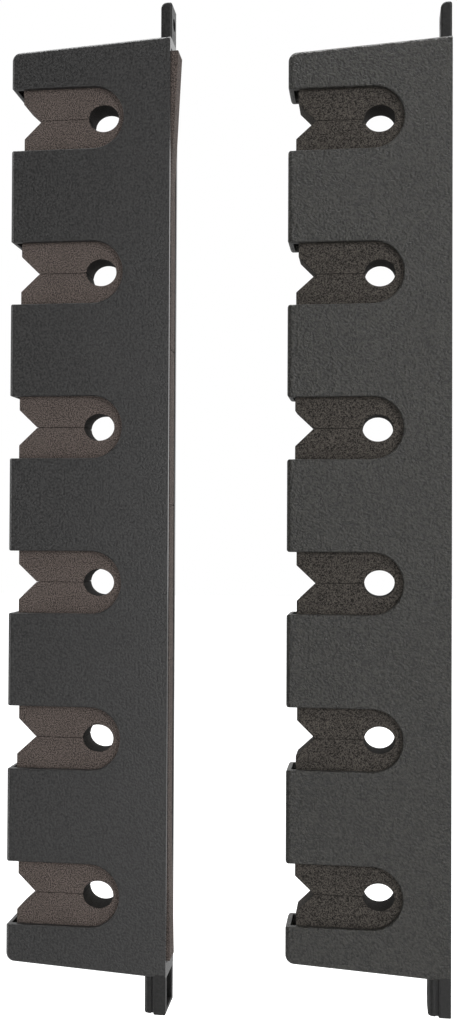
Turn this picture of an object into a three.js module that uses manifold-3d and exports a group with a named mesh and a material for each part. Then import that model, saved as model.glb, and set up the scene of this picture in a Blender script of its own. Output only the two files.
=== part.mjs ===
// Wall cue rack: a matched pair of slotted channels with foam grips, fastened upright to a wall.
// Millimetres. +X points out of the open back into the wall, +Y runs along the cues, +Z is up.
// The origin is on the wall plane of the right rack, in the middle of its height and thickness.
import * as THREE from 'three';
import { mergeVertices } from 'three/addons/utils/BufferGeometryUtils.js';
import Module from 'manifold-3d';

// ---- Driving dimensions ----
const thickness = 15;
const depth = 56;
const wall = 1.8;
const slotCount = 6;
const slotPitch = 53.34;
const slotHeight = 21.4;
const slotDepth = 39.8;
const frontHeight = 313.6;
const backHeight = 320.3;
const topEndWall = 3.4;
const bottomEndWall = 4.7;

const frontEdgeRadius = 1.9;      // the shell's upright front edges
const mouthCornerRadius = 1.1;    // corners of the blocks where a slot opens
const endCornerRadius = 3;        // front corners at the top and the bottom
const smallRadius = 0.8;          // front edges of the lug and the foot

const lugHeight = 13;
const lugWidth = 9.3;
const lugDepth = 3.9;
const lugCornerRadius = 2.2;      // its rounded upper front edge
const lugHoleBelowTip = 6.3;
const screwHoleRadius = 2.1;

const footHeight = 12.1;
const footDepth = 7.6;
const footFlangeDepth = 4.2;
const footBossWidth = 12.6;
const footWall = 1.6;

const foamSetback = 3.3;          // foam front behind the shell's front
const foamGap = 0.25;             // between foam and any wall
const seamGap = 0.3;              // between two grips
const mouthDepth = 6.4;
const mouthHalfHeight = 6.1;
const slitWidth = 0.5;
const holeSetback = 31.7;         // cue hole centre behind the shell's front
const holeRadiusX = 5.25;
const holeRadiusZ = 4.6;
const loosenedLength = 43;        // how far along an end grip its back stands proud of the rim

const leftRackOffset = { x: -95.5, y: -10.5 };

// How far each grip sits behind its nominal place, from the top slot down.
const rightGripShift = [-0.2, 0, -0.6, 0.1, 0.2, 0.1];
const leftGripShift = [0.8, 0.2, -0.2, 0, 0.1, 0.4];
const leftTopProud = 2.2;
const leftBottomProud = 0.9;

const overshoot = 1;              // how far a cutter reaches past the face it opens
const arcSegments = 8;
const cornerSegments = 4;

// ---- Derived places ----
const slotZ = (index) => ((slotCount - 1) / 2 - index) * slotPitch;
const backHalf = backHeight / 2;
const frontHalf = frontHeight / 2;
const endSlope = (backHalf - frontHalf) / depth;
const screwHoleTopZ = backHalf + lugHeight - lugHoleBelowTip;
const screwHoleBottomZ = -backHalf - footHeight / 2;

const plastic = new THREE.MeshStandardMaterial({ color: 0x3e3e3f, roughness: 0.62, metalness: 0 });
const foam = new THREE.MeshStandardMaterial({ color: 0x574f49, roughness: 0.95, metalness: 0 });

const wasm = await Module();
wasm.setup();

// ---- Boolean helpers ----
function toSolid(geometry) {
  const bare = geometry.clone();
  bare.deleteAttribute('normal');
  bare.deleteAttribute('uv');
  const merged = mergeVertices(bare, 1e-4);
  return new wasm.Manifold(new wasm.Mesh({
    numProp: 3,
    vertProperties: new Float32Array(merged.attributes.position.array),
    triVerts: new Uint32Array(merged.index.array),
  }));
}

function toGeometry(solid) {
  const mesh = solid.getMesh();
  const geometry = new THREE.BufferGeometry();
  geometry.setAttribute('position', new THREE.BufferAttribute(mesh.vertProperties, 3));
  geometry.setIndex(new THREE.BufferAttribute(mesh.triVerts, 1));
  geometry.computeVertexNormals();
  return geometry;
}

// ---- Extrusions along the three axes ----
// A side outline drawn in X and Z, as thick as width along Y and centred on it.
function alongY(shape, width, curveSegments = arcSegments) {
  const geometry = new THREE.ExtrudeGeometry(shape, { depth: width, bevelEnabled: false, curveSegments });
  return geometry.rotateX(Math.PI / 2).translate(0, width / 2, 0);
}

// A plan outline drawn in X and Y, raised from low to high along Z.
function alongZ(shape, low, high) {
  const settings = { depth: high - low, bevelEnabled: false, curveSegments: cornerSegments };
  return new THREE.ExtrudeGeometry(shape, settings).translate(0, 0, low);
}

// A back outline drawn in Y and Z, running from low to high along X.
function alongX(shape, low, high) {
  const settings = { depth: high - low, bevelEnabled: false, curveSegments: arcSegments };
  const geometry = new THREE.ExtrudeGeometry(shape, settings);
  return geometry.rotateX(Math.PI / 2).rotateZ(Math.PI / 2).translate(low, 0, 0);
}

// A rectangle whose left-hand corners are rounded: the front of a plan outline.
function frontRounded(front, back, width, radius) {
  const half = width / 2;
  const shape = new THREE.Shape();
  shape.moveTo(back, -half);
  shape.lineTo(back, half);
  shape.lineTo(front + radius, half);
  shape.absarc(front + radius, half - radius, radius, Math.PI / 2, Math.PI, false);
  shape.absarc(front + radius, radius - half, radius, Math.PI, Math.PI * 1.5, false);
  shape.closePath();
  return shape;
}

// ---- Shell ----
// The channel's side outline, its ends rising towards the wall.
function sideOutline(inset, topInset, bottomInset, cornerRadius) {
  const front = -depth + inset;
  const heightAt = (x) => backHalf + endSlope * x;
  const shape = new THREE.Shape();
  shape.moveTo(0, -backHalf + bottomInset);
  shape.lineTo(0, backHalf - topInset);
  shape.lineTo(front + cornerRadius, heightAt(front + cornerRadius) - topInset);
  shape.quadraticCurveTo(front, heightAt(front) - topInset, front, heightAt(front) - topInset - cornerRadius);
  shape.lineTo(front, -heightAt(front) + bottomInset + cornerRadius);
  shape.quadraticCurveTo(front, -heightAt(front) + bottomInset,
    front + cornerRadius, -heightAt(front + cornerRadius) + bottomInset);
  shape.closePath();
  return shape;
}

// One U-shaped slot with a half-round end, flared where it meets the front to round the block corners.
function slotOutline(centre) {
  const half = slotHeight / 2;
  const front = -depth;
  const beyond = front - overshoot;
  const corner = mouthCornerRadius;
  const end = front + slotDepth - half;
  const shape = new THREE.Shape();
  shape.moveTo(beyond, centre - half - corner);
  shape.lineTo(front, centre - half - corner);
  shape.absarc(front + corner, centre - half - corner, corner, Math.PI, Math.PI / 2, true);
  shape.lineTo(end, centre - half);
  shape.absarc(end, centre, half, -Math.PI / 2, Math.PI / 2, false);
  shape.lineTo(front + corner, centre + half);
  shape.absarc(front + corner, centre + half + corner, corner, -Math.PI / 2, -Math.PI, true);
  shape.lineTo(beyond, centre + half + corner);
  shape.closePath();
  return shape;
}

function roundHole(radius, centreX, centreY) {
  const shape = new THREE.Shape();
  shape.absarc(centreX, centreY, radius, 0, Math.PI * 2, false);
  return shape;
}

// The lug above the channel: a flat tab, flush with the open back, its upper front edge rounded.
function topLug() {
  const base = backHalf - topEndWall / 2;
  const tip = backHalf + lugHeight;
  const corner = lugCornerRadius;
  const outline = new THREE.Shape();
  outline.moveTo(0, base);
  outline.lineTo(0, tip);
  outline.lineTo(corner - lugDepth, tip);
  outline.absarc(corner - lugDepth, tip - corner, corner, Math.PI / 2, Math.PI, false);
  outline.lineTo(-lugDepth, base);
  outline.closePath();
  const plan = frontRounded(-lugDepth, 0, lugWidth, smallRadius);
  const blank = toSolid(alongY(outline, lugWidth)).intersect(toSolid(alongZ(plan, base, tip)));
  const hole = roundHole(screwHoleRadius, 0, screwHoleTopZ);
  return blank.subtract(toSolid(alongX(hole, -lugDepth - overshoot, overshoot)));
}

// The hollow foot below the channel: a flange as wide as the channel with a narrower boss on its front.
function bottomFoot() {
  const top = -backHalf + bottomEndWall / 2;
  const tip = -backHalf - footHeight;
  const flange = toSolid(alongZ(frontRounded(-footFlangeDepth, 0, thickness, smallRadius), tip, top));
  const boss = toSolid(alongZ(frontRounded(-footDepth, 0, footBossWidth, frontEdgeRadius), tip, top));
  const hollow = frontRounded(footWall - footDepth, overshoot, footBossWidth - 2 * footWall, smallRadius);
  const cavity = toSolid(alongZ(hollow, tip + footWall, -backHalf));
  const holeOutline = roundHole(screwHoleRadius, 0, screwHoleBottomZ);
  const hole = toSolid(alongX(holeOutline, -footDepth - overshoot, overshoot));
  return flange.add(boss).subtract(cavity).subtract(hole);
}

function shellGeometry() {
  const side = toSolid(alongY(sideOutline(0, 0, 0, endCornerRadius), thickness));
  const plan = toSolid(alongZ(frontRounded(-depth, 0, thickness, frontEdgeRadius), -backHalf, backHalf));
  const insideWidth = thickness - 2 * wall;
  const insideOutline = sideOutline(wall, topEndWall, bottomEndWall, endCornerRadius - wall);
  const inside = toSolid(alongY(insideOutline, insideWidth));
  const insideHeight = backHeight - topEndWall - bottomEndWall;
  const openBack = new THREE.BoxGeometry(2 * overshoot, insideWidth, insideHeight);
  openBack.translate(0, 0, (bottomEndWall - topEndWall) / 2);
  let shell = side.intersect(plan).subtract(inside).subtract(toSolid(openBack));
  for (let i = 0; i < slotCount; i++) {
    shell = shell.subtract(toSolid(alongY(slotOutline(slotZ(i)), thickness + 2 * overshoot)));
  }
  return toGeometry(shell.add(topLug()).add(bottomFoot()));
}

// ---- Foam grips ----
// The block's side outline. The outer ends of the first and last grips follow the slope of the end walls,
// and their backs are flush with the rim or stand proud of it where they have worked loose.
function gripOutline(index, front, topProud, bottomProud) {
  const topmost = index === 0;
  const lowest = index === slotCount - 1;
  const reach = (slotPitch - seamGap) / 2;
  const high = topmost ? backHalf - topEndWall - foamGap : slotZ(index) + reach;
  const low = lowest ? -backHalf + bottomEndWall + foamGap : slotZ(index) - reach;
  const shape = new THREE.Shape();
  shape.moveTo(bottomProud, low);
  if (bottomProud > 0) shape.lineTo(0, low + loosenedLength);
  if (topProud > 0) shape.lineTo(0, high - loosenedLength);
  shape.lineTo(topProud, high);
  shape.lineTo(0, high);
  shape.lineTo(front, topmost ? high + endSlope * front : high);
  shape.lineTo(front, lowest ? low - endSlope * front : low);
  if (bottomProud > 0) shape.lineTo(0, low);
  shape.closePath();
  return shape;
}

// The V mouth and the slit that runs back from it to the cue hole.
function mouthOutline(front, centre) {
  const apex = front + mouthDepth;
  const slitEnd = front + holeSetback - foamSetback;
  const half = slitWidth / 2;
  const flare = mouthHalfHeight * (1 + overshoot / mouthDepth);
  const shape = new THREE.Shape();
  shape.moveTo(front - overshoot, centre - flare);
  shape.lineTo(apex, centre - half);
  shape.lineTo(slitEnd, centre - half);
  shape.lineTo(slitEnd, centre + half);
  shape.lineTo(apex, centre + half);
  shape.lineTo(front - overshoot, centre + flare);
  shape.closePath();
  return shape;
}

function cueHoleOutline(front, centre) {
  const shape = new THREE.Shape();
  const holeX = front + holeSetback - foamSetback;
  shape.absellipse(holeX, centre, holeRadiusX, holeRadiusZ, 0, Math.PI * 2, false, 0);
  return shape;
}

function gripGeometry(index, shift, topProud, bottomProud) {
  const width = thickness - 2 * wall - 2 * foamGap;
  const front = -depth + foamSetback + shift;
  const block = toSolid(alongY(gripOutline(index, front, topProud, bottomProud), width));
  const cutters = [mouthOutline(front, slotZ(index)), cueHoleOutline(front, slotZ(index))];
  const cut = (solid, outline) => solid.subtract(toSolid(alongY(outline, width + 2 * overshoot)));
  return toGeometry(cutters.reduce(cut, block));
}

// ---- Assembly ----
function addPiece(group, name, geometry, material) {
  const mesh = new THREE.Mesh(geometry, material.clone());
  mesh.name = name;
  group.add(mesh);
}

function makeRack(side, gripShift, topProud, bottomProud) {
  const rack = new THREE.Group();
  addPiece(rack, `${side}_shell`, shellGeometry(), plastic);
  for (let i = 0; i < slotCount; i++) {
    const top = i === 0 ? topProud : 0;
    const bottom = i === slotCount - 1 ? bottomProud : 0;
    addPiece(rack, `${side}_foam_grip_${i + 1}`, gripGeometry(i, gripShift[i], top, bottom), foam);
  }
  return rack;
}

const rightRack = makeRack('right', rightGripShift, 0, 0);
const leftRack = makeRack('left', leftGripShift, leftTopProud, leftBottomProud);
leftRack.position.set(leftRackOffset.x, leftRackOffset.y, 0);

const cueRack = new THREE.Group();
cueRack.add(rightRack, leftRack);

export default cueRack;
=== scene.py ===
"""Wall cue rack: the looks. Two slotted plastic channels with foam grips, in a white studio.
Lengths are in metres; MM turns the millimetre sizes of the moulding into metres."""

import math

import bmesh
import bpy
from mathutils import Matrix, Vector


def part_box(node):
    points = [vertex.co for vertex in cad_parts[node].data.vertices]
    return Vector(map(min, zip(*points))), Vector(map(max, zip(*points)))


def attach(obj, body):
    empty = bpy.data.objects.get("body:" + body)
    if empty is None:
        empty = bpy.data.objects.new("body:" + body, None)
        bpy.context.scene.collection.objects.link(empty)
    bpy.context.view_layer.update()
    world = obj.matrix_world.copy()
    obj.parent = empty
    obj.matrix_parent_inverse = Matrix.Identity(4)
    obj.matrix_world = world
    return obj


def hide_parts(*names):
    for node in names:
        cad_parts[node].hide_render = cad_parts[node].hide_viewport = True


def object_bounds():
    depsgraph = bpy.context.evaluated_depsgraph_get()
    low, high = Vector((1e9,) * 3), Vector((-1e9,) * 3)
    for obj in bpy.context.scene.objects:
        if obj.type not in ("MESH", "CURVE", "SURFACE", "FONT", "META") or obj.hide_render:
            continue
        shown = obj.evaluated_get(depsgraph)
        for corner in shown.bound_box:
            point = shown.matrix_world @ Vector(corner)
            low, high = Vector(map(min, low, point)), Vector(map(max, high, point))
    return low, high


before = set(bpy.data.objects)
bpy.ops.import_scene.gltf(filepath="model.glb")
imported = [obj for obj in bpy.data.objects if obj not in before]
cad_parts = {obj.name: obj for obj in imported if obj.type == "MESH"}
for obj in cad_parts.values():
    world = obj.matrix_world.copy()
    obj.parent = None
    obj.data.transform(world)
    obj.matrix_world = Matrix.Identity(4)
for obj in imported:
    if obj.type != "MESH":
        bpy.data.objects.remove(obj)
cad_low, cad_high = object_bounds()

MM = 0.001

# ---- Camera ----
CAMERA_PLACE = (-0.0257, -0.4006, -0.008)
CAMERA_YAW = 7.28        # degrees, towards -X
CAMERA_PITCH = 0.83      # degrees, upwards
CAMERA_ROLL = -0.26      # degrees
CAMERA_LENS = 40.27      # millimetres, on the default 36 mm sensor
CLIP_START = 0.01

# ---- Studio ----
FRONT_LIGHT = 0.05       # brightness of the studio on the camera's side
BACK_LIGHT = 0.85        # its brightness behind the racks
TOP_LIGHT = 0.6          # added overhead
BACK_SPAN = (0.1, 0.8)   # how far a direction points along +Y, from front to back brightness
TOP_SPAN = (0.1, 0.9)    # how far it points along +Z, from none to all of the top light
SEEN_LIGHT = 1.0         # brightness of the studio where the camera sees it
LAMPS = {                # place, width, height, power
    "key": ((0.85, -1.15, 0.5), 0.4, 0.4, 9.5),
    "strip": ((-0.03, -1.3, -0.06), 0.2, 1.2, 5.4),
    "top_panel": ((-0.1, 0.1, 1.2), 0.9, 0.5, 18.0),
    "left_panel": ((-1.1, -0.12, 0.0), 0.2, 1.2, 4.5),
    "right_panel": ((1.0, 0.6, 0.0), 0.4, 1.2, 6.0),
}
FLOOR_REACH = 12.0
FLOOR_TOP = -0.75
FLOOR_THICKNESS = 0.02
FLOOR_TONES = ((0.5, 0.5, 0.5), (0.55, 0.55, 0.55))
FLOOR_PATCHES = 3.0      # per metre
FLOOR_ROUGHNESS = 0.8

# ---- Shell sizes ----
SLOT_COUNT = 6
WALL = 1.8 * MM
SLOT_PITCH = 53.34 * MM
SLOT_HEIGHT = 21.4 * MM
SLOT_DEPTH = 39.8 * MM
FRONT_HEIGHT = 313.6 * MM
BACK_HEIGHT = 320.3 * MM
TOP_END_WALL = 3.4 * MM
BOTTOM_END_WALL = 4.7 * MM
FRONT_EDGE_RADIUS = 1.9 * MM
MOUTH_CORNER_RADIUS = 1.1 * MM
END_CORNER_RADIUS = 3 * MM
END_EDGE_RADIUS = 1.2 * MM      # along the top and bottom edges of the side faces
SLOT_EDGE_RADIUS = 0.55 * MM
SMALL_RADIUS = 0.8 * MM
LUG_WIDTH = 9.3 * MM
LUG_DEPTH = 3.9 * MM
LUG_CORNER_RADIUS = 2.2 * MM
LUG_HOLE_BELOW_TIP = 6.3 * MM
SCREW_HOLE_RADIUS = 2.1 * MM
FOOT_DEPTH = 7.6 * MM
FOOT_FLANGE_DEPTH = 4.2 * MM
FOOT_BOSS_WIDTH = 12.6 * MM
FOOT_WALL = 1.6 * MM
FOOT_BEVEL = 0.3 * MM
FOOT_GROOVE_WIDTH = 0.9 * MM
FOOT_GROOVE_DEPTH = 0.7 * MM
OVERSHOOT = 1 * MM              # how far a cutter reaches past the face it opens

# ---- Foam sizes ----
SEAM_GAP = 0.08 * MM
FOAM_CLEARANCE = 0.3 * MM       # left between the foam and the side walls
SNUG_CLEARANCE = 0.04 * MM      # the same behind the slots, where it would let light through
MOUTH_DEPTH = 6.4 * MM
MOUTH_HALF_HEIGHT = 6.1 * MM
SLIT_WIDTH = 0.1 * MM
HOLE_BEHIND_FRONT = 28.4 * MM
HOLE_RADIUS_X = 5.25 * MM
HOLE_RADIUS_Z = 4.6 * MM
LOOSENED_LENGTH = 43 * MM       # how much of an end grip's back stands proud of the rim
FOAM_BEVEL = 0.25 * MM
REBATE_WIDTH = 1.5 * MM         # cut from each back edge of the foam, beside the wall
REBATE_DEPTH = 3 * MM

# How far the upper half of each foam mouth sits behind the lower half, in millimetres, from the
# top slot down.
MOUTH_LEAN = {
    "right": (0.8, 0.8, 0.0, -0.1, 0.4, -0.4),
    "left": (-0.3, 0.2, 0.1, 0.0, 0.6, 0.4),
}

# ---- Edges, in degrees ----
TAB_EDGE_ANGLE = 32             # edges of the lug and the foot sharper than this are rounded
FOAM_EDGE_ANGLE = 25            # the same on the foam
SHELL_SHARP_ANGLE = 35          # edges sharper than this stay sharp in the shading
FOAM_SHARP_ANGLE = 50

# ---- Which faces get which material ----
TAB_MARGIN = 0.55 * MM          # a face this far past the channel's ends is on the lug or the foot
RIM_MARGIN = 0.8 * MM           # a face this near to the wall plane may be on the rim
RIM_FACING = 0.9                # how squarely a face of the rim looks at the wall
HOLE_MARGIN = 1.05              # a face this near to the cue hole, in radii, is on its wall and gets the painted shade
SIDE_FACING = 0.5               # a face that looks more along Y than this is on a side, not on the wall

# ---- Plastic ----
GRAIN_SCALE = 1400              # grains per metre
GRAIN_DETAIL = 1.5
GRAIN_BUMP = 0.9
GRAIN_HEIGHT = {"right": 0.62 * MM, "left": 0.14 * MM}
GRAIN_SPAN = (0.35, 0.65)       # noise values that get the dark and the light tone
GLOSS_SPAN = (0.3, 0.7)         # noise values that get the low and the high roughness
# The same plastic gets lighter tones on the right rack and darker ones on the left: painted light and
# shade. The grain between each pair of tones is the plastic's own.
PLASTIC_LIT_AND_SHADED_TONES = {
    "right": ((0.009, 0.0087, 0.0077), (0.037, 0.0355, 0.0306)),
    "left": ((0.006, 0.0058, 0.0057), (0.026, 0.0252, 0.0247)),
}
PLASTIC_ROUGHNESS = (0.36, 0.52)
PLASTIC_SPECULAR = 0.5
PLASTIC_PATCHES = 60            # slow changes of tone, per metre
PLASTIC_PATCH_SHADE = 0.92
SMOOTH_TONES = ((0.006, 0.0059, 0.0057), (0.016, 0.0156, 0.0152))
SMOOTH_HEIGHT = 0.05 * MM
SMOOTH_SPECULAR = 0.3
RIM_HEIGHT = 0.01 * MM
RIM_ROUGHNESS = (0.18, 0.26)
RIM_SPECULAR = 0.9

# ---- Foam ----
CELL_SCALE = 2700               # foam cells per metre
CELL_HEIGHT = 0.2 * MM
CELL_BUMP = 0.6
SPECKLE_ROUGHNESS = 0.6
SPECKLE_SPAN = (0.38, 0.62)     # noise values that get the dark and the light tone
# The same foam gets lighter tones on the left rack and darker ones on the right: painted light and
# shade. The speckle between each pair of tones is the foam's own.
FOAM_LIT_AND_SHADED_TONES = {
    "right": ((0.009, 0.0080, 0.0069), (0.098, 0.0871, 0.0762)),
    "left": ((0.018, 0.0147, 0.0132), (0.166, 0.1344, 0.1203)),
}
# Darker foam tones for the wall of the cue hole: painted shade inside the hole.
HOLE_SHADE_TONES = ((0.006, 0.0052, 0.0045), (0.028, 0.0246, 0.0215))
FOAM_ROUGHNESS = 0.9
FOAM_SPECULAR = 0.2
FOAM_PATCHES = 90               # slow changes of tone, per metre
FOAM_PATCH_SHADE = 0.88

PATCH_SPAN = (0.3, 0.7)
WHITE = (1.0, 1.0, 1.0)


# ---- The racks' places, from the frame ----
class Rack:
    """One rack: where its channel stands, read off its CAD shell."""

    def __init__(self, side):
        low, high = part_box(side + "_shell")
        self.side = side
        self.body = side + "_rack"
        self.front = low.x
        self.back = high.x
        self.middle = (low.y + high.y) / 2
        self.half_thickness = (high.y - low.y) / 2
        self.tip = high.z
        self.foot_tip = low.z

    def slot_centre(self, index):
        return ((SLOT_COUNT - 1) / 2 - index) * SLOT_PITCH

    def strip(self, side, near, far):
        """The lower and the higher Y of a strip on one side of the middle plane."""
        ends = (self.middle + side * near, self.middle + side * far)
        return min(ends), max(ends)


# ---- Outlines ----
def arc(centre, radius_u, start, end, steps, radius_v=None):
    """Points on an arc, from start to end degrees, both ends included."""
    radius_v = radius_u if radius_v is None else radius_v
    points = []
    for i in range(steps + 1):
        turn = math.radians(start + (end - start) * i / steps)
        points.append((centre[0] + radius_u * math.cos(turn), centre[1] + radius_v * math.sin(turn)))
    return points


def rounded_front(front, back, half_width, radius):
    """A plan outline whose two front corners are rounded."""
    points = [(back, -half_width), (back, half_width)]
    points += arc((front + radius, half_width - radius), radius, 90, 180, steps=8)
    points += arc((front + radius, radius - half_width), radius, 180, 270, steps=8)
    return points


def end_height(rack, x):
    """Half the channel's height at x: the ends rise towards the back."""
    share = (rack.back - x) / (rack.back - rack.front)
    return (BACK_HEIGHT + (FRONT_HEIGHT - BACK_HEIGHT) * share) / 2


def inside_outline(rack):
    """The side outline of the channel's hollow, which runs out through the back."""
    front = rack.front + WALL
    back = rack.back + OVERSHOOT
    radius = END_CORNER_RADIUS - WALL
    top = end_height(rack, front + radius) - TOP_END_WALL
    bottom = BOTTOM_END_WALL - end_height(rack, front + radius)
    points = [(back, BOTTOM_END_WALL - BACK_HEIGHT / 2), (back, BACK_HEIGHT / 2 - TOP_END_WALL)]
    points += arc((front + radius, top - radius), radius, 90, 180, steps=8)
    points += arc((front + radius, bottom + radius), radius, 180, 270, steps=8)
    return points


def slot_outline(rack, centre, flare):
    """A U-shaped slot with a half-round end and a rounded mouth. A flare widens it all round."""
    half = SLOT_HEIGHT / 2
    corner = MOUTH_CORNER_RADIUS
    front = rack.front
    end = front + SLOT_DEPTH - half
    points = [(front - OVERSHOOT, centre - half - corner)]
    points += arc((front + corner, centre - half - corner), corner - flare, 180, 90, steps=6)
    points += arc((end, centre), half + flare, -90, 90, steps=28)
    points += arc((front + corner, centre + half + corner), corner - flare, -90, -180, steps=6)
    points.append((front - OVERSHOOT, centre + half + corner))
    return points


# ---- Mesh making ----
def loft(name, rings):
    """A closed solid through rings of points, all with the same number of points."""
    bm = bmesh.new()
    rows = [[bm.verts.new(point) for point in ring] for ring in rings]
    bm.faces.new(rows[0])
    bm.faces.new(reversed(rows[-1]))
    count = len(rows[0])
    for first, second in zip(rows, rows[1:]):
        for i in range(count):
            j = (i + 1) % count
            bm.faces.new((first[i], second[i], second[j], first[j]))
    bmesh.ops.recalc_face_normals(bm, faces=bm.faces)
    mesh = bpy.data.meshes.new(name)
    bm.to_mesh(mesh)
    bm.free()
    made = bpy.data.objects.new(name, mesh)
    bpy.context.scene.collection.objects.link(made)
    return made


def prism(name, outline, axis, low, high):
    """A closed solid: an outline drawn in the two other axes, run along axis from low to high."""
    place = {
        "X": lambda u, v, w: (w, u, v),
        "Y": lambda u, v, w: (u, w, v),
        "Z": lambda u, v, w: (u, v, w),
    }[axis]
    return loft(name, [[place(u, v, w) for u, v in outline] for w in (low, high)])


def block(name, low, high):
    """A closed box between two corners."""
    corners = [(low[0], low[1]), (high[0], low[1]), (high[0], high[1]), (low[0], high[1])]
    return prism(name, corners, "Z", low[2], high[2])


def settle(piece):
    """Applies the piece's modifiers to its mesh."""
    graph = bpy.context.evaluated_depsgraph_get()
    graph.update()
    made = bpy.data.meshes.new_from_object(piece.evaluated_get(graph))
    made.name = piece.name
    piece.modifiers.clear()
    piece.data = made


def combine(target, other, operation):
    """A boolean of two solids. The second one is used up."""
    step = target.modifiers.new("combine", "BOOLEAN")
    step.operation = operation
    step.solver = "MANIFOLD"
    step.object = other
    settle(target)
    bpy.data.objects.remove(other)


def bevel_edges(piece, width, segments, angle):
    """Rounds the piece's sharp edges."""
    bevel = piece.modifiers.new("bevel", "BEVEL")
    bevel.width = width
    bevel.segments = segments
    bevel.limit_method = "ANGLE"
    bevel.angle_limit = math.radians(angle)
    bevel.use_clamp_overlap = False
    settle(piece)


def shade(piece, angle):
    """Smooth shading that keeps flat faces flat and edges past the angle sharp."""
    piece.data.shade_smooth()
    piece.data.set_sharp_from_angle(angle=math.radians(angle))
    normals = piece.modifiers.new("normals", "WEIGHTED_NORMAL")
    normals.weight = 100
    normals.keep_sharp = True
    settle(piece)


# ---- Shell ----
def rounding(steps):
    """How far a rounded edge falls in from each of its two faces, as shares of its radius."""
    turns = [math.radians(90 * i / steps) for i in range(steps + 1)]
    return [(1 - math.sin(turn), 1 - math.cos(turn)) for turn in turns]


def channel_ring(rack, sink, lift, side, steps=10):
    """One ring round the channel, part of the rounding between a side face and the rim."""
    ring = []

    def add(x, z, radius):
        ring.append((x, rack.middle + side * (rack.half_thickness - radius * lift), z))

    centre_x = rack.front + END_CORNER_RADIUS
    centre_z = end_height(rack, centre_x) - END_CORNER_RADIUS
    add(rack.back, END_EDGE_RADIUS * sink - BACK_HEIGHT / 2, END_EDGE_RADIUS)
    add(rack.back, BACK_HEIGHT / 2 - END_EDGE_RADIUS * sink, END_EDGE_RADIUS)
    for up, start in ((1, 90), (-1, 180)):
        for i in range(steps + 1):
            share = i / steps if up > 0 else 1 - i / steps
            radius = END_EDGE_RADIUS + (FRONT_EDGE_RADIUS - END_EDGE_RADIUS) * share
            turn = math.radians(start + 90 * i / steps)
            reach = END_CORNER_RADIUS - radius * sink
            add(centre_x + reach * math.cos(turn), up * centre_z + reach * math.sin(turn), radius)
    return ring


def make_channel(rack):
    """The channel's outer body, with its side edges rounded."""
    near = [channel_ring(rack, sink, lift, -1) for sink, lift in rounding(8)]
    far = [channel_ring(rack, sink, lift, 1) for sink, lift in reversed(rounding(8))]
    return loft(rack.side + "_rack_shell", near + far)


def make_slot(rack, centre):
    """A cutter for one slot, flared at both side faces so that its edges come out rounded."""
    half = rack.half_thickness
    near = [(-half - OVERSHOOT, SLOT_EDGE_RADIUS)]
    for sink, lift in rounding(4):
        near.append((SLOT_EDGE_RADIUS * lift - half, SLOT_EDGE_RADIUS * sink))
    far = [(-across, flare) for across, flare in reversed(near)]
    rings = []
    for across, flare in near + far:
        rings.append([(x, rack.middle + across, z) for x, z in slot_outline(rack, centre, flare)])
    return loft("slot", rings)


def make_screw_hole(rack, height, depth):
    """A cutter for a screw hole, as deep as the lug or the foot that it goes through."""
    ring = arc((rack.middle, height), SCREW_HOLE_RADIUS, 0, 350, steps=35)
    return prism("screw_hole", ring, "X", rack.back - depth - OVERSHOOT, rack.back + OVERSHOOT)


def make_lug(rack):
    base = BACK_HEIGHT / 2 - TOP_END_WALL / 2
    front = rack.back - LUG_DEPTH
    corner = LUG_CORNER_RADIUS
    side = [(rack.back, base), (rack.back, rack.tip)]
    side += arc((front + corner, rack.tip - corner), corner, 90, 180, steps=10)
    side.append((front, base))
    half = LUG_WIDTH / 2
    lug = prism("lug", side, "Y", rack.middle - half, rack.middle + half)
    bevel_edges(lug, SMALL_RADIUS, 4, TAB_EDGE_ANGLE)
    combine(lug, make_screw_hole(rack, rack.tip - LUG_HOLE_BELOW_TIP, LUG_DEPTH), "DIFFERENCE")
    return lug


def foot_plan(rack, depth, half_width, radius, back):
    """A plan outline in the foot, from a depth in front of the wall plane to its back."""
    outline = rounded_front(rack.back - depth, back, half_width, radius)
    return [(x, y + rack.middle) for x, y in outline]


def make_foot_boss(rack, top):
    """The foot's thick middle, with a shallow groove down each side of it."""
    half = FOOT_BOSS_WIDTH / 2
    plan = foot_plan(rack, FOOT_DEPTH, half, FRONT_EDGE_RADIUS, rack.back)
    boss = prism("boss", plan, "Z", rack.foot_tip, top)
    bevel_edges(boss, FOOT_BEVEL, 3, TAB_EDGE_ANGLE)
    front = rack.back - FOOT_FLANGE_DEPTH - FOOT_GROOVE_WIDTH
    for side in (-1, 1):
        near, far = rack.strip(side, half - FOOT_GROOVE_DEPTH, half + OVERSHOOT)
        low = (front, near, rack.foot_tip - OVERSHOOT)
        combine(boss, block("groove", low, (rack.back, far, top + OVERSHOOT)), "DIFFERENCE")
    return boss


def make_foot(rack):
    top = -BACK_HEIGHT / 2 + BOTTOM_END_WALL / 2
    tip = rack.foot_tip
    flange_plan = foot_plan(rack, FOOT_FLANGE_DEPTH, rack.half_thickness, SMALL_RADIUS, rack.back)
    foot = prism("foot", flange_plan, "Z", tip, top)
    bevel_edges(foot, FOOT_BEVEL, 3, TAB_EDGE_ANGLE)
    combine(foot, make_foot_boss(rack, top), "UNION")
    half_hollow = FOOT_BOSS_WIDTH / 2 - FOOT_WALL
    hollow_back = rack.back + OVERSHOOT
    hollow_plan = foot_plan(rack, FOOT_DEPTH - FOOT_WALL, half_hollow, SMALL_RADIUS, hollow_back)
    combine(foot, prism("hollow", hollow_plan, "Z", tip + FOOT_WALL, -BACK_HEIGHT / 2), "DIFFERENCE")
    combine(foot, make_screw_hole(rack, (tip - BACK_HEIGHT / 2) / 2, FOOT_DEPTH), "DIFFERENCE")
    return foot


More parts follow.
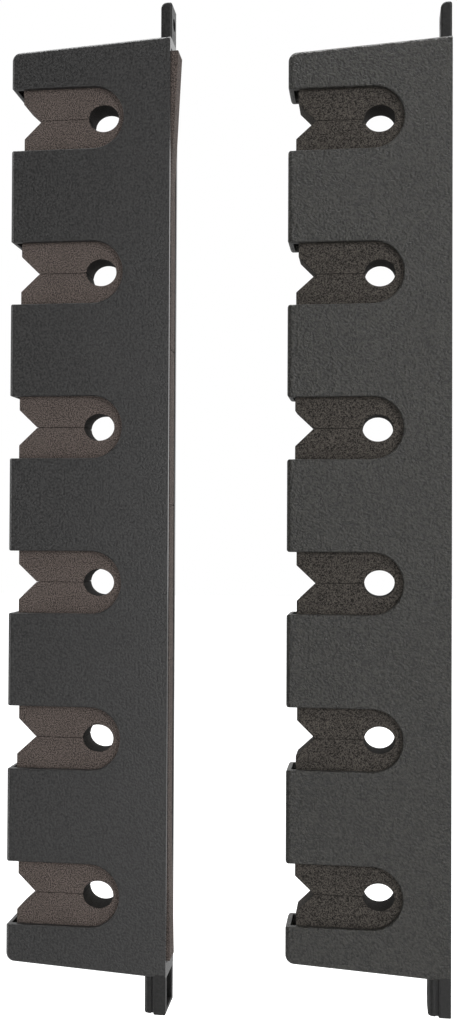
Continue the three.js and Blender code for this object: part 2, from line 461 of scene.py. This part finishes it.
def make_shell(rack):
    shell = make_channel(rack)
    reach = rack.half_thickness - WALL
    inside = prism("inside", inside_outline(rack), "Y", rack.middle - reach, rack.middle + reach)
    combine(shell, inside, "DIFFERENCE")
    for index in range(SLOT_COUNT):
        combine(shell, make_slot(rack, rack.slot_centre(index)), "DIFFERENCE")
    combine(shell, make_lug(rack), "UNION")
    combine(shell, make_foot(rack), "UNION")
    shade(shell, SHELL_SHARP_ANGLE)
    return shell


# ---- Foam grips ----
def grip_outline(rack, index, front, low, high, top_proud, bottom_proud):
    """The grip's side outline, once round: back, top, mouth with its slit and cue hole, bottom."""
    centre = rack.slot_centre(index)
    slope = (BACK_HEIGHT - FRONT_HEIGHT) / 2 / (rack.back - rack.front) * (rack.back - front)
    top_fall = slope if index == 0 else 0
    bottom_rise = slope if index == SLOT_COUNT - 1 else 0
    lean = MOUTH_LEAN[rack.side][index] * MM / 2
    apex = front + MOUTH_DEPTH
    hole = (front + HOLE_BEHIND_FRONT, centre)
    slit = SLIT_WIDTH / 2
    slit_angle = math.degrees(math.asin(slit / HOLE_RADIUS_Z))
    points = [(rack.back + bottom_proud, low)]
    if bottom_proud > 0:
        points.append((rack.back, low + LOOSENED_LENGTH))
    if top_proud > 0:
        points.append((rack.back, high - LOOSENED_LENGTH))
    points += [(rack.back + top_proud, high), (front + lean, high - top_fall)]
    points += [(front + lean, centre + MOUTH_HALF_HEIGHT), (apex, centre + slit)]
    points += arc(hole, HOLE_RADIUS_X, 180 - slit_angle, slit_angle - 180, 56, HOLE_RADIUS_Z)
    points += [(apex, centre - slit), (front - lean, centre - MOUTH_HALF_HEIGHT)]
    points.append((front - lean, low + bottom_rise))
    return points


def make_snug_part(rack, outline):
    """The part of a grip behind its slot: it fills the channel from wall to wall."""
    half = rack.half_thickness - WALL - SNUG_CLEARANCE
    part = prism("snug", outline, "Y", rack.middle - half, rack.middle + half)
    near, far = rack.middle - rack.half_thickness, rack.middle + rack.half_thickness
    low = (rack.front + SLOT_DEPTH + OVERSHOOT, near, -BACK_HEIGHT / 2)
    high = (rack.back - OVERSHOOT, far, BACK_HEIGHT / 2)
    combine(part, block("keep", low, high), "INTERSECT")
    return part


def cut_rebates(grip, rack, half, low, high, proud):
    """Cuts back the grip's two upright back edges, beside the side walls."""
    for side in (-1, 1):
        near, far = rack.strip(side, half - REBATE_WIDTH, half + OVERSHOOT)
        corner = (rack.back - REBATE_DEPTH, near, low - OVERSHOOT)
        opposite = (rack.back + proud + OVERSHOOT, far, high + OVERSHOOT)
        combine(grip, block("rebate", corner, opposite), "DIFFERENCE")


def paint_hole_wall_shade(grip, hole_x, hole_z):
    """Gives the wall of the cue hole the grip's second material, a darker foam that is painted shade
    inside the hole.
    """
    for face in grip.data.polygons:
        across = (face.center.x - hole_x) / HOLE_RADIUS_X
        up = (face.center.z - hole_z) / HOLE_RADIUS_Z
        near_hole = math.hypot(across, up) < HOLE_MARGIN
        face.material_index = int(near_hole and abs(face.normal.y) < SIDE_FACING)


def make_grip(rack, index, foams):
    node = f"{rack.side}_foam_grip_{index + 1}"
    cad_low_corner, cad_high_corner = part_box(node)
    front = cad_low_corner.x
    centre = rack.slot_centre(index)
    reach = (SLOT_PITCH - SEAM_GAP) / 2
    high = cad_high_corner.z if index == 0 else centre + reach
    low = cad_low_corner.z if index == SLOT_COUNT - 1 else centre - reach
    proud = max(0.0, cad_high_corner.x - rack.back)
    top_proud = proud if index == 0 else 0
    bottom_proud = proud if index == SLOT_COUNT - 1 else 0
    outline = grip_outline(rack, index, front, low, high, top_proud, bottom_proud)
    half = rack.half_thickness - WALL - FOAM_CLEARANCE
    name = f"{rack.side}_grip_{index + 1}"
    grip = prism(name, outline, "Y", rack.middle - half, rack.middle + half)
    bevel_edges(grip, FOAM_BEVEL, 3, FOAM_EDGE_ANGLE)
    combine(grip, make_snug_part(rack, outline), "UNION")
    cut_rebates(grip, rack, half, low, high, proud)
    shade(grip, FOAM_SHARP_ANGLE)
    paint(grip, *foams)
    # The cue hole's wall gets the darker foam: painted shade.
    paint_hole_wall_shade(grip, front + HOLE_BEHIND_FRONT, centre)
    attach(grip, rack.body)
    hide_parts(node)


# ---- Materials ----
def new_material(name):
    material = bpy.data.materials.new(name)
    material.use_nodes = True
    nodes, links = material.node_tree.nodes, material.node_tree.links
    return material, nodes, links, nodes["Principled BSDF"]


def noise(nodes, links, scale, detail=2.0, roughness=0.5):
    """A noise texture fixed to the object, scale in features per metre."""
    place = nodes.new("ShaderNodeTexCoord")
    texture = nodes.new("ShaderNodeTexNoise")
    texture.inputs["Scale"].default_value = scale
    texture.inputs["Detail"].default_value = detail
    texture.inputs["Roughness"].default_value = roughness
    links.new(place.outputs["Object"], texture.inputs["Vector"])
    return texture.outputs["Fac"]


def cells(nodes, links, scale):
    """Rounded cells fixed to the object, scale in cells per metre."""
    place = nodes.new("ShaderNodeTexCoord")
    texture = nodes.new("ShaderNodeTexVoronoi")
    texture.inputs["Scale"].default_value = scale
    links.new(place.outputs["Object"], texture.inputs["Vector"])
    return texture.outputs["Distance"]


def ramp(nodes, links, source, span, tones):
    """A colour from the first tone to the second, over a span of the source's values."""
    node = nodes.new("ShaderNodeValToRGB")
    for element, position, tone in zip(node.color_ramp.elements, span, tones):
        element.position = position
        element.color = (*tone, 1)
    links.new(source, node.inputs["Fac"])
    return node.outputs["Color"]


def patched(nodes, links, colour, patches, darkest):
    """The colour with slow changes of tone over it, down to a darkest share."""
    cloud = noise(nodes, links, patches)
    broad = ramp(nodes, links, cloud, PATCH_SPAN, ((darkest, darkest, darkest), WHITE))
    node = nodes.new("ShaderNodeMix")
    node.data_type = "RGBA"
    node.blend_type = "MULTIPLY"
    node.inputs["Factor"].default_value = 1.0
    links.new(colour, node.inputs["A"])
    links.new(broad, node.inputs["B"])
    return node.outputs["Result"]


def map_range(nodes, links, source, span, to_low, to_high):
    node = nodes.new("ShaderNodeMapRange")
    node.inputs["From Min"].default_value = span[0]
    node.inputs["From Max"].default_value = span[1]
    node.inputs["To Min"].default_value = to_low
    node.inputs["To Max"].default_value = to_high
    links.new(source, node.inputs["Value"])
    return node.outputs["Result"]


def bump(nodes, links, height, strength, distance, below=None):
    node = nodes.new("ShaderNodeBump")
    node.inputs["Strength"].default_value = strength
    node.inputs["Distance"].default_value = distance
    links.new(height, node.inputs["Height"])
    if below is not None:
        links.new(below, node.inputs["Normal"])
    return node.outputs["Normal"]


def plastic_material(name, tones, relief, roughness, specular):
    """Dark moulded plastic with a fine grain between two tones."""
    material, nodes, links, shader = new_material(name)
    grain = noise(nodes, links, GRAIN_SCALE, GRAIN_DETAIL)
    fine = ramp(nodes, links, grain, GRAIN_SPAN, tones)
    colour = patched(nodes, links, fine, PLASTIC_PATCHES, PLASTIC_PATCH_SHADE)
    links.new(colour, shader.inputs["Base Color"])
    links.new(map_range(nodes, links, grain, GLOSS_SPAN, *roughness), shader.inputs["Roughness"])
    shader.inputs["Specular IOR Level"].default_value = specular
    links.new(bump(nodes, links, grain, GRAIN_BUMP, relief), shader.inputs["Normal"])
    return material


def foam_material(name, tones):
    """Closed-cell foam: fine cells on every cut face, between two tones."""
    material, nodes, links, shader = new_material(name)
    speckle = noise(nodes, links, CELL_SCALE, roughness=SPECKLE_ROUGHNESS)
    fine = ramp(nodes, links, speckle, SPECKLE_SPAN, tones)
    colour = patched(nodes, links, fine, FOAM_PATCHES, FOAM_PATCH_SHADE)
    links.new(colour, shader.inputs["Base Color"])
    shader.inputs["Roughness"].default_value = FOAM_ROUGHNESS
    shader.inputs["Specular IOR Level"].default_value = FOAM_SPECULAR
    pits = bump(nodes, links, cells(nodes, links, CELL_SCALE), CELL_BUMP, CELL_HEIGHT)
    links.new(bump(nodes, links, speckle, CELL_BUMP, CELL_HEIGHT, pits), shader.inputs["Normal"])
    return material


def paint(piece, *materials):
    piece.data.materials.clear()
    for material in materials:
        piece.data.materials.append(material)


def paint_smooth_faces(shell, rack):
    """Gives the lug and the foot the shell's second material, and the channel's rim its third."""
    for face in shell.data.polygons:
        on_tab = abs(face.center.z) > BACK_HEIGHT / 2 + TAB_MARGIN
        on_rim = face.normal.x > RIM_FACING and face.center.x > rack.back - RIM_MARGIN
        face.material_index = 1 if on_tab else 2 * int(on_rim)


# ---- Studio ----
def make_camera():
    camera = bpy.data.objects.new("camera", bpy.data.cameras.new("camera"))
    bpy.context.scene.collection.objects.link(camera)
    turn = Matrix.Rotation(math.radians(CAMERA_YAW), 4, "Z")
    turn @= Matrix.Rotation(math.radians(CAMERA_PITCH), 4, "X")
    turn @= Matrix.Rotation(math.radians(CAMERA_ROLL), 4, "Y")
    turn @= Matrix.Rotation(math.radians(90), 4, "X")
    camera.matrix_world = Matrix.Translation(CAMERA_PLACE) @ turn
    camera.data.lens = CAMERA_LENS
    camera.data.clip_start = CLIP_START
    bpy.context.scene.camera = camera


def make_lamp(name, aim, place, width, height, power):
    light = bpy.data.lights.new(name, "AREA")
    light.shape = "RECTANGLE"
    light.size = width
    light.size_y = height
    light.energy = power
    lamp = bpy.data.objects.new(name, light)
    lamp.location = place
    lamp.rotation_euler = (aim - Vector(place)).to_track_quat("-Z", "Y").to_euler()
    bpy.context.scene.collection.objects.link(lamp)


def make_world():
    """A white studio: bright behind and above the racks, dim in front of them."""
    world = bpy.data.worlds.new("studio")
    bpy.context.scene.world = world
    world.use_nodes = True
    nodes, links = world.node_tree.nodes, world.node_tree.links
    background = nodes["Background"]
    background.inputs["Color"].default_value = (*WHITE, 1)
    place = nodes.new("ShaderNodeTexCoord")
    split = nodes.new("ShaderNodeSeparateXYZ")
    links.new(place.outputs["Generated"], split.inputs["Vector"])
    behind = map_range(nodes, links, split.outputs["Y"], BACK_SPAN, FRONT_LIGHT, BACK_LIGHT)
    above = map_range(nodes, links, split.outputs["Z"], TOP_SPAN, 0.0, TOP_LIGHT)
    total = nodes.new("ShaderNodeMath")
    total.operation = "ADD"
    links.new(behind, total.inputs[0])
    links.new(above, total.inputs[1])
    seen = nodes.new("ShaderNodeLightPath")
    choose = nodes.new("ShaderNodeMix")
    links.new(seen.outputs["Is Camera Ray"], choose.inputs["Factor"])
    links.new(total.outputs["Value"], choose.inputs["A"])
    choose.inputs["B"].default_value = SEEN_LIGHT
    links.new(choose.outputs["Result"], background.inputs["Strength"])


def make_floor():
    """A wide pale floor, well below the hanging racks, that fades into the studio's white."""
    low = (-FLOOR_REACH, -FLOOR_REACH, FLOOR_TOP - FLOOR_THICKNESS)
    floor = block("floor", low, (FLOOR_REACH, FLOOR_REACH, FLOOR_TOP))
    material, nodes, links, shader = new_material("pale_floor")
    tone = ramp(nodes, links, noise(nodes, links, FLOOR_PATCHES), PATCH_SPAN, FLOOR_TONES)
    links.new(tone, shader.inputs["Base Color"])
    shader.inputs["Roughness"].default_value = FLOOR_ROUGHNESS
    seen = nodes.new("ShaderNodeLightPath")
    links.new(seen.outputs["Is Camera Ray"], shader.inputs["Emission Strength"])
    shader.inputs["Emission Color"].default_value = (*WHITE, 1)
    paint(floor, material)


# ---- Assembly ----
def make_rack(side, smooth_plastic, rim_plastic):
    """One rack: its shell and its six grips, riding on the rack's body."""
    rack = Rack(side)
    # Each rack's foam tones carry painted light and shade: lighter on the left rack, darker on the
    # right.
    foam = foam_material(side + "_foam", FOAM_LIT_AND_SHADED_TONES[side])
    # A darker copy of the foam for the cue hole's wall: painted shade inside the hole.
    hole_shade_foam = foam_material(side + "_hole_shade_foam", HOLE_SHADE_TONES)
    # Each rack's plastic tones carry painted light and shade: lighter on the right rack, darker on the
    # left.
    tones, relief = PLASTIC_LIT_AND_SHADED_TONES[side], GRAIN_HEIGHT[side]
    plastic = plastic_material(side + "_plastic", tones, relief, PLASTIC_ROUGHNESS, PLASTIC_SPECULAR)
    shell = make_shell(rack)
    paint(shell, plastic, smooth_plastic, rim_plastic)
    paint_smooth_faces(shell, rack)
    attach(shell, rack.body)
    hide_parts(side + "_shell")
    for index in range(SLOT_COUNT):
        make_grip(rack, index, (foam, hole_shade_foam))


make_camera()
make_world()
make_floor()
for lamp_name, lamp in LAMPS.items():
    make_lamp(lamp_name, (cad_low + cad_high) / 2, *lamp)
bpy.context.scene.view_settings.view_transform = "Standard"

smooth = plastic_material(
    "smooth_plastic", SMOOTH_TONES, SMOOTH_HEIGHT, PLASTIC_ROUGHNESS, SMOOTH_SPECULAR)
rim = plastic_material("rim_plastic", SMOOTH_TONES, RIM_HEIGHT, RIM_ROUGHNESS, RIM_SPECULAR)
for rack_side in ("right", "left"):
    make_rack(rack_side, smooth, rim)
